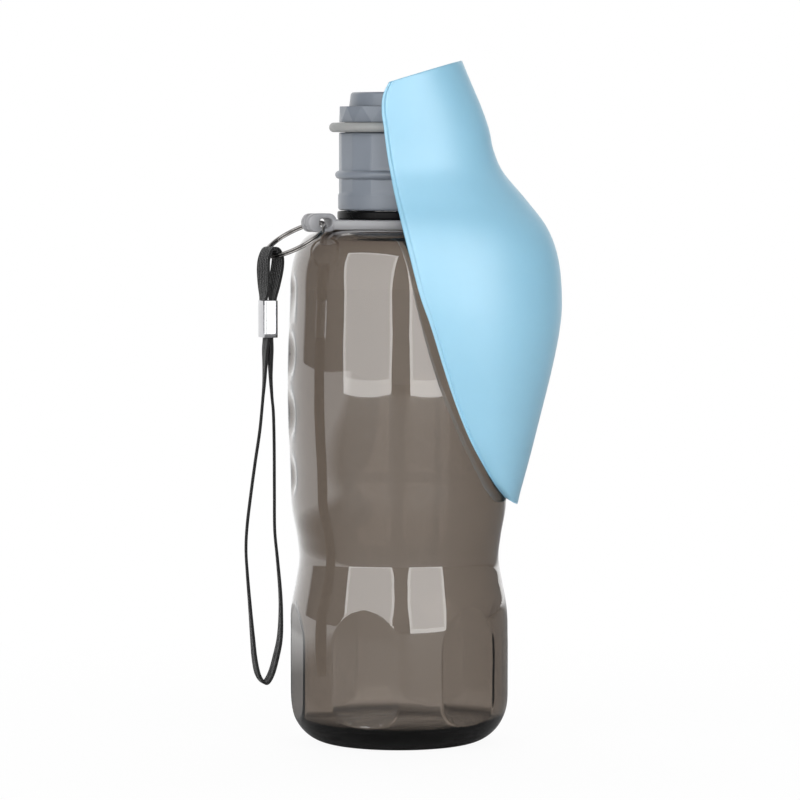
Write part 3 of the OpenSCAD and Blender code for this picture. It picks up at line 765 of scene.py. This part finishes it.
def cap_side(theta, z):
    """The outside of the cap: a round skirt, then facets with a rib round them."""
    up = z - SKIRT_Z
    slope_h = 1.6         # height of the slope from the skirt to the facets
    fall = max(up - (SKIRT_H - slope_h), 0) / slope_h
    r = SKIRT_R - fall * (SKIRT_R - FACET_R + 0.5) - max(fall - 1, 0) * 9
    if up < 1:
        r = SKIRT_R - 1 + math.sqrt(max(1 - (1 - up) ** 2, 0))
    if up > 5:
        r = smooth_max(r, faceted(theta, FACET_R), 0.25)
    rise = abs(up - RIB_H)
    if rise < RIB_R:
        r = smooth_max(r, FACET_R - 0.2 + math.sqrt(RIB_R ** 2 - rise ** 2), 0.3)
    return r


def cap_bore(theta, z):
    """The inside of the cap, with its screw thread."""
    return max(thread_form(theta, z, CAP_THREAD_R), THREAD_R + THREAD_OFF * 0.1)


def revolve_at(name, key, angles, rows):
    """A closed turned piece whose radius may change with the angle."""
    verts = []
    n = len(angles)
    for r, z in rows:
        for a in angles:
            q = r(a, z) if callable(r) else r
            verts.append((q * math.cos(a), q * math.sin(a), z))
    return dress(add_mesh(name, verts, band_faces(len(rows), n, wrap=True)), key)


def make_cap():
    """The cap's body: up its outside, over the spigot, and down its throat and thread."""
    heights = [0, 0.15, 0.4, 0.7, 1, 2.5, 4, 5.4, 5.5, 5.8, 6.2, 6.6, 7, 7.2, 8.5, 10, 11, 11.4]
    heights += [RIB_H + RIB_R * math.sin(math.radians(d)) for d in range(-88, 89, 11)]
    heights += [14.8, 16, 19, 22, 25, 27, CAP_H - 0.5]
    rows = [(cap_side, SKIRT_Z + h) for h in sorted(set(heights))]
    rows += [(facet_edge(0.12), SEAT_Z - 0.14), (facet_edge(0.5), SEAT_Z),
             (SPIGOT_R + 0.3, SEAT_Z),
             (SPIGOT_R, SEAT_Z + 0.2), (SPIGOT_R, SEAT_Z + SPIGOT_H - 0.4),
             (SPIGOT_R - 0.35, SEAT_Z + SPIGOT_H), (THROAT_R + 0.35, SEAT_Z + SPIGOT_H),
             (THROAT_R, SEAT_Z + SPIGOT_H - 0.4), (THROAT_R, GUIDE_Z + CHAMBER_H + 0.3),
             (THROAT_R + 0.3, GUIDE_Z + CHAMBER_H), (CHAMBER_R, GUIDE_Z + CHAMBER_H),
             (CHAMBER_R, GUIDE_Z), (DECK_HOLE_R + 0.3, GUIDE_Z), (DECK_HOLE_R, GUIDE_Z - 0.3),
             (DECK_HOLE_R, DECK_Z + 0.3), (DECK_HOLE_R + 0.3, DECK_Z), (cap_bore, DECK_Z)]
    steps = 44
    top, low = THREAD_Z + THREAD_H + 1.5, SKIRT_Z + 0.3
    rows += [(cap_bore, top - (top - low) * k / steps) for k in range(steps + 1)]
    rows += [(lambda a, z: cap_bore(a, z) + 0.3, SKIRT_Z), (SKIRT_R - 1.2, SKIRT_Z)]
    return revolve_at("cap_shell", "cap", facet_angles(), rows)


def make_gem():
    """The locking collar: a band of triangles between two turned prisms, round a bore."""
    step = 2 * math.pi / FACETS
    phase = math.radians(FACET_PHASE)
    rings = [(FACET_R - 0.15, LOCK_Z, phase), (FACET_R - 0.3, LOCK_TOP, phase + step / 2),
             (SPIGOT_R + 0.05, LOCK_TOP, phase + step / 2), (SPIGOT_R + 0.05, LOCK_Z, phase)]
    verts = [(r * math.cos(p + step * k), r * math.sin(p + step * k), z)
             for r, z, p in rings for k in range(FACETS)]
    faces = []
    n = FACETS
    for k in range(n):
        j = (k + 1) % n
        faces += [(k, j, n + k), (j, n + j, n + k)]
        faces += [(n + k, n + j, 2 * n + j, 2 * n + k)]
        faces += [(2 * n + k, 2 * n + j, 3 * n + j), (2 * n + k, 3 * n + j, 3 * n + k)]
        faces += [(3 * n + k, 3 * n + j, j, k)]
    obj = dress(add_mesh("cap_lock_shell", verts, faces, smooth=False), "cap")
    add_bevel(obj, 0.16, 3, 7).harden_normals = True
    return obj


cap_shell = make_cap()
cap_lock = make_gem()
for piece, node_name in ((cap_shell, "cap_body"), (cap_lock, "cap_collar")):
    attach(piece, "cap")
    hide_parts(node_name)

GASKET_R = 22.7
PLAY = 0.3                # air round the neck
gasket = revolve("gasket_shell", "rubber", fillet([
    (NECK_R + PLAY, GASKET_Z), (GASKET_R, GASKET_Z), (GASKET_R, GASKET_Z + GASKET_T),
    (NECK_R + PLAY, GASKET_Z + GASKET_T)], 0.75, 6), 144)
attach(gasket, "bottle")
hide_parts("neck_gasket")

# ---------------------------------------------------------------- strap collar

COLLAR_R = 23.4
ARM_END = LUG_R - LUG_HALF + 2
ARM_FROM = (12, 19)       # where the arm's edge starts in the collar: along the arm, and across


def collar_edge(inset):
    """The collar's outer edge, with the arm that carries the lug, moved in."""
    def edge(theta, z):
        off = (theta - math.radians(LUG_TURN) + math.pi) % (2 * math.pi) - math.pi
        r = COLLAR_R
        if abs(off) < 0.9:
            dx, dy = ARM_FROM[0] - ARM_END, ARM_FROM[1] - LUG_T / 2
            side_r = ((dy * ARM_FROM[0] - dx * ARM_FROM[1])
                      / (dy * math.cos(off) - dx * abs(math.sin(off))))
            r = smooth_max(r, min(side_r, ARM_END / math.cos(off)), 0.8)
        return r - inset
    return edge


def collar_angles():
    """Angles round the collar, close together at the arm."""
    turn = math.radians(LUG_TURN)
    near = [i * 0.75 for i in range(-16, 17)]
    far = [i * 2.0 for i in range(7, 174)]
    return [turn + math.radians(d) for d in near + far]


def make_collar():
    bore = NECK_R + PLAY
    z, t = COLLAR_Z, COLLAR_T
    rows = [(collar_edge(0.45), z), (collar_edge(0.13), z + 0.13), (collar_edge(0), z + 0.45),
            (collar_edge(0), z + t - 0.6), (collar_edge(0.18), z + t - 0.18),
            (collar_edge(0.6), z + t), (bore + 0.3, z + t), (bore, z + t - 0.3), (bore, z + 0.3),
            (bore + 0.3, z)]
    return revolve_at("collar_shell", "collar", collar_angles(), rows)


def stadium(mid, half, h, n=18):
    """Points round a bar with round ends, in the plane of the radius and the height."""
    out = []
    for s in (1, -1):
        for k in range(n + 1):
            a = math.pi * k / n - math.pi / 2
            out.append((mid + s * (half - h / 2 + h / 2 * math.cos(a)),
                        LUG_Z + s * h / 2 * math.sin(a)))
    return out


def make_lug():
    """The lug: a bar with round ends, an eye through it and a groove round its rim."""
    half_t = LUG_T / 2
    section = [("out", 0.5, -half_t), ("out", 0.2, -half_t + 0.1), ("out", 0, -half_t + 0.45),
               ("out", 0, -0.72), ("out", 0.07, -0.58), ("out", 0.42, -0.48), ("out", 0.5, -0.35),
               ("out", 0.5, 0.35), ("out", 0.42, 0.48), ("out", 0.07, 0.58), ("out", 0, 0.72),
               ("out", 0, half_t - 0.45), ("out", 0.2, half_t - 0.1), ("out", 0.5, half_t),
               ("eye", 0.4, half_t), ("eye", 0.12, half_t - 0.1), ("eye", 0, half_t - 0.4),
               ("eye", 0, -half_t + 0.4), ("eye", 0.12, -half_t + 0.1), ("eye", 0.4, -half_t)]
    verts = []
    for which, off, y in section:
        if which == "out":
            line = stadium(LUG_R, LUG_HALF - off, LUG_H - 2 * off)
        else:
            line = stadium(EYE_R, EYE_W / 2 + off, EYE_H + 2 * off)
        verts += [(x, y, z) for x, z in line]
    n = len(stadium(0, 2, 1))
    obj = dress(add_mesh("lug_shell", verts, band_faces(len(section), n, wrap=True)), "collar")
    obj.data.transform(Matrix.Rotation(math.radians(LUG_TURN), 4, "Z"))
    return obj


for piece in (make_collar(), make_lug()):
    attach(piece, "collar")
    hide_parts("strap_collar")

# ---------------------------------------------------------------- split ring and clasp


def make_split_ring():
    """Two turns of flat spring wire that step from one layer to the other in one place."""
    steps = 176
    start, end = math.radians(11), math.radians(709)    # just under two turns
    cross = math.radians(9)                             # half the length of the step
    lift = COIL_T / 2
    half_w, half_t = COIL_W / 2, COIL_T / 2 - 0.045
    section = []
    for k in range(16):
        a = 2 * math.pi * k / 16
        section.append((math.copysign(abs(math.cos(a)) ** 0.7, math.cos(a)) * half_w,
                        math.copysign(abs(math.sin(a)) ** 0.7, math.sin(a)) * half_t))
    verts = []
    for i in range(steps + 1):
        a = start + (end - start) * i / steps
        t = min(max((a - 2 * math.pi + cross) / (2 * cross), 0), 1)
        z = lift * (2 * (t * t * (3 - 2 * t)) - 1)
        for u, v in section:
            r = SPLIT_MID + u
            verts.append((r * math.cos(a), r * math.sin(a), z + v))
    n = len(section)
    faces = [tuple(range(n)), tuple(steps * n + k for k in range(n - 1, -1, -1))]
    faces += band_faces(steps + 1, n)
    obj = dress(add_mesh("split_ring_coil", verts, faces), "steel")
    obj.data.transform(
        Matrix.Rotation(math.radians(LUG_TURN), 4, "Z")
        @ Matrix.Translation((HOOK_R * MM, 0, HOOK_Z * MM))
        @ Matrix.Rotation(math.radians(SPLIT_FALL), 4, "Y")
        @ Matrix.Translation((SPLIT_MID * MM, 0, 0))
        @ Matrix.Rotation(math.radians(128), 4, "Z"))
    smooth_by_angle(obj, 60)
    return obj


def make_clasp():
    """A flat crimped sleeve with rounded corners and rolled ends."""
    def outline(inset, radius, n=6):
        a = CLASP_T / 2 + CLASP_WALL - inset
        b = WEB_W / 2 + CLASP_WALL + LAYER_GAP - inset
        out = []
        for q in range(4):
            sx, sy = ((1, 1), (-1, 1), (-1, -1), (1, -1))[q]
            for k in range(n + 1):
                t = math.pi / 2 * (q + k / n)
                out.append((sx * (a - radius) + radius * math.cos(t),
                            sy * (b - radius) + radius * math.sin(t)))
        return out
    h, w = CLASP_H, CLASP_WALL
    rows = [(0.16, 1.0, 0), (0.04, 1.1, 0.05), (0, 1.15, 0.2)]
    rows += [(0, 1.15, h * k / 8) for k in range(1, 8)]
    rows += [(0, 1.15, h - 0.2), (0.04, 1.1, h - 0.05), (0.16, 1.0, h),
             (w - 0.1, 0.35, h), (w, 0.3, h - 0.12), (w, 0.3, 0.12), (w - 0.1, 0.35, 0)]
    half_t = CLASP_T / 2 + w
    verts = []
    for inset, radius, z in rows:
        for x, y in outline(inset, radius):
            bow = 1 - CLASP_BOW * (abs(y) / (WEB_W / 2)) ** 2 if inset < w / 2 else 1
            verts.append((x * bow, y * (1 - CLASP_BOW * (x / half_t) ** 2), z))
    n = len(outline(0, 0.5))
    faces = band_faces(len(rows), n, wrap=True)
    obj = dress(add_mesh("strap_clasp_shell", verts, faces), "chrome")
    obj.data.transform(Matrix.Translation((CLASP_X * MM, CLASP_Y * MM, CLASP_Z * MM))
                       @ Matrix.Rotation(math.radians(CLASP_TURN), 4, "Z"))
    smooth_by_angle(obj, 50)
    return obj


coil = make_split_ring()
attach(coil, "split_ring")
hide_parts("split_ring")
clasp = make_clasp()
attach(clasp, "strap")
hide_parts("strap_clasp")

# ---------------------------------------------------------------- CAD pieces that stay

KEEP = {
    "cap_liner": "silicone", "leaf_ring": "ring", "valve_guide": "cap", "valve_plunger": "white",
    "outlet_plug": "silicone", "valve_knob": "cap", "knob_clip": "steel", "knob_seal": "rubber"}
for node_name, key in KEEP.items():
    smooth_by_angle(dress(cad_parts[node_name], key))

# ---------------------------------------------------------------- strap pieces

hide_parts("strap_upper_loop")
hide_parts("strap_lower_loop")
for web in (upper_web, lower_web):
    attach(web, "strap")
    dress(web, "web")

# ---------------------------------------------------------------- room and light

def flat_sheet(name, corners):
    mesh = bpy.data.meshes.new(name)
    mesh.from_pydata(corners, [], [(0, 1, 2, 3)])
    obj = bpy.data.objects.new(name, mesh)
    scene.collection.objects.link(obj)
    return obj


floor = flat_sheet("floor", [(-4, -3.0, 0), (4, -3.0, 0), (4, 5, 0), (-4, 5, 0)])
floor_shader = Shader("floor_white", (0.92, 0.92, 0.92), 0.6, Specular_IOR_Level=0.2)
floor_path = floor_shader.node("LightPath")
floor_shader.set("Base Color", floor_shader.math(
    "MULTIPLY", floor_shader.span(floor_shader.noise(2.0, 2), 0.3, 0.7, 0.9, 0.93),
    floor_shader.math("SUBTRACT", 1.0, floor_shader.math(
        "MULTIPLY", floor_path.outputs["Is Glossy Ray"], 0.85))))
# What the camera and transmission rays see is white, but for the shadow near the bottle
floor_glow = floor_shader.node("Emission")
floor_mix = floor_shader.node("MixShader")
floor_place = floor_shader.node("VectorMath", operation="LENGTH")
floor_shader.link(floor_shader.coords(), floor_place.inputs[0])
floor_far = floor_shader.span(floor_place.outputs["Value"], 0.042, 0.078, 0.0, 0.95)
floor_through = floor_shader.math(
    "MULTIPLY", floor_path.outputs["Is Transmission Ray"], floor_far)
floor_near = floor_shader.span(floor_place.outputs["Value"], 0.05, 0.35, 0.94, 1.0)
floor_direct = floor_shader.math("MULTIPLY", floor_path.outputs["Is Camera Ray"], floor_near)
# Gloss sees it as white only behind the bottle, where the backdrop is
floor_split = floor_shader.node("SeparateXYZ")
floor_shader.link(floor_shader.coords(), floor_split.inputs[0])
floor_behind = floor_shader.span(
    floor_shader.math("SUBTRACT", floor_split.outputs[1], floor_split.outputs[0]),
    0.3, 0.7, 0.0, 0.95)
floor_gloss = floor_shader.math("MULTIPLY", floor_path.outputs["Is Glossy Ray"], floor_behind)
floor_shader.link(floor_shader.math("MAXIMUM", floor_gloss, floor_shader.math(
    "MAXIMUM", floor_through, floor_direct)), floor_mix.inputs[0])
floor_shader.link(floor_shader.bsdf.outputs[0], floor_mix.inputs[1])
floor_shader.link(floor_glow.outputs[0], floor_mix.inputs[2])
floor_shader.link(floor_mix.outputs[0], floor_shader.out.inputs["Surface"])
floor.data.materials.append(floor_shader.mat)

ROOM = 0.16             # light from all round
DARK = 0.12             # the unlit part of the studio, as gloss shows it
BACKDROP_EDGE = 0.727   # where the white backdrop ends
BACKDROP_SIDE = 0.3     # how far it leans to the left

world = bpy.data.worlds.new("studio")
world.use_nodes = True
scene.world = world
tree = world.node_tree
tree.nodes.clear()


def world_node(kind, **props):
    made = tree.nodes.new("ShaderNode" + kind)
    for key, value in props.items():
        setattr(made, key, value)
    return made


def background(strength):
    made = world_node("Background")
    made.inputs["Color"].default_value = (1, 1, 1, 1)
    made.inputs["Strength"].default_value = strength
    return made


path = world_node("LightPath")
seen = world_node("Math", operation="MAXIMUM")
tree.links.new(path.outputs["Is Camera Ray"], seen.inputs[0])
tree.links.new(path.outputs["Is Transmission Ray"], seen.inputs[1])
direction = world_node("SeparateXYZ")
tree.links.new(world_node("TexCoord").outputs["Generated"], direction.inputs[0])
behind = world_node("MapRange")
lean = world_node("Math", operation="MULTIPLY_ADD")
tree.links.new(direction.outputs["X"], lean.inputs[0])
lean.inputs[1].default_value = -BACKDROP_SIDE
tree.links.new(direction.outputs["Y"], lean.inputs[2])
tree.links.new(lean.outputs[0], behind.inputs["Value"])
behind.inputs["From Min"].default_value = BACKDROP_EDGE - 0.03
behind.inputs["From Max"].default_value = BACKDROP_EDGE + 0.03
behind.inputs["To Min"].default_value = DARK
behind.inputs["To Max"].default_value = 1.0
room, white, gloss = background(ROOM), background(1.0), background(1.0)
tree.links.new(behind.outputs[0], gloss.inputs["Strength"])
mix_gloss, mix_seen = world_node("MixShader"), world_node("MixShader")
tree.links.new(path.outputs["Is Glossy Ray"], mix_gloss.inputs[0])
tree.links.new(room.outputs[0], mix_gloss.inputs[1])
tree.links.new(gloss.outputs[0], mix_gloss.inputs[2])
tree.links.new(seen.outputs[0], mix_seen.inputs[0])
tree.links.new(mix_gloss.outputs[0], mix_seen.inputs[1])
tree.links.new(white.outputs[0], mix_seen.inputs[2])
tree.links.new(mix_seen.outputs[0], world_node("OutputWorld").inputs["Surface"])


LIGHT_AIM_Z = 0.12        # height that the lamps are turned to
SOFTBOX_RIM = 0.11        # width of the brighter border of a softbox


def panel_light(name, azimuth, elevation, width, height, distance, radiance, shift=(0.0, 0.0)):
    """A flat soft light turned to the bottle; azimuth in degrees from the camera's side."""
    data = bpy.data.lights.new(name, "AREA")
    data.shape = "RECTANGLE"
    data.size = width
    data.size_y = height
    data.energy = radiance * math.pi * width * height
    obj = bpy.data.objects.new(name, data)
    a, e = math.radians(azimuth), math.radians(elevation)
    away = Vector((math.sin(a) * math.cos(e), -math.cos(a) * math.cos(e), math.sin(e)))
    side = Vector((math.cos(a), math.sin(a), 0))
    up = side.cross(away) * -1
    if up.z < 0:
        up = -up
    place = Vector((0, 0, LIGHT_AIM_Z)) + away * distance + side * shift[0] + up * shift[1]
    turn = away.to_track_quat("Z", "Y").to_matrix().to_4x4()
    obj.matrix_world = Matrix.Translation(place) @ turn
    scene.collection.objects.link(obj)
    return obj


def softbox(name, azimuth, elevation, width, height, distance, inner, edge):
    """A soft light whose cloth is brighter along its border."""
    rim = SOFTBOX_RIM
    panel_light(name, azimuth, elevation, width - 2 * rim, height - 2 * rim, distance, inner)
    for s in (-1, 1):
        panel_light(name + "_side_%d" % s, azimuth, elevation, rim, height, distance, edge,
                    (s * (width - rim) / 2, 0))
        panel_light(name + "_end_%d" % s, azimuth, elevation, width - 2 * rim, rim, distance,
                    edge, (0, s * (height - rim) / 2))


softbox("softbox_left", -33, 19.5, 1.95, 1.7, 1.9, 2.05, 3.0)
softbox("softbox_right", 31, 19.5, 1.45, 1.7, 1.9, 2.35, 3.3)

for fill_name, fill_azimuth in (("fill_back_left", -150), ("fill_back_right", 150)):
    fill = panel_light(fill_name, fill_azimuth, 34, 1.6, 1.4, 1.9, 2.1)
    fill.visible_transmission = False
    fill.visible_glossy = False
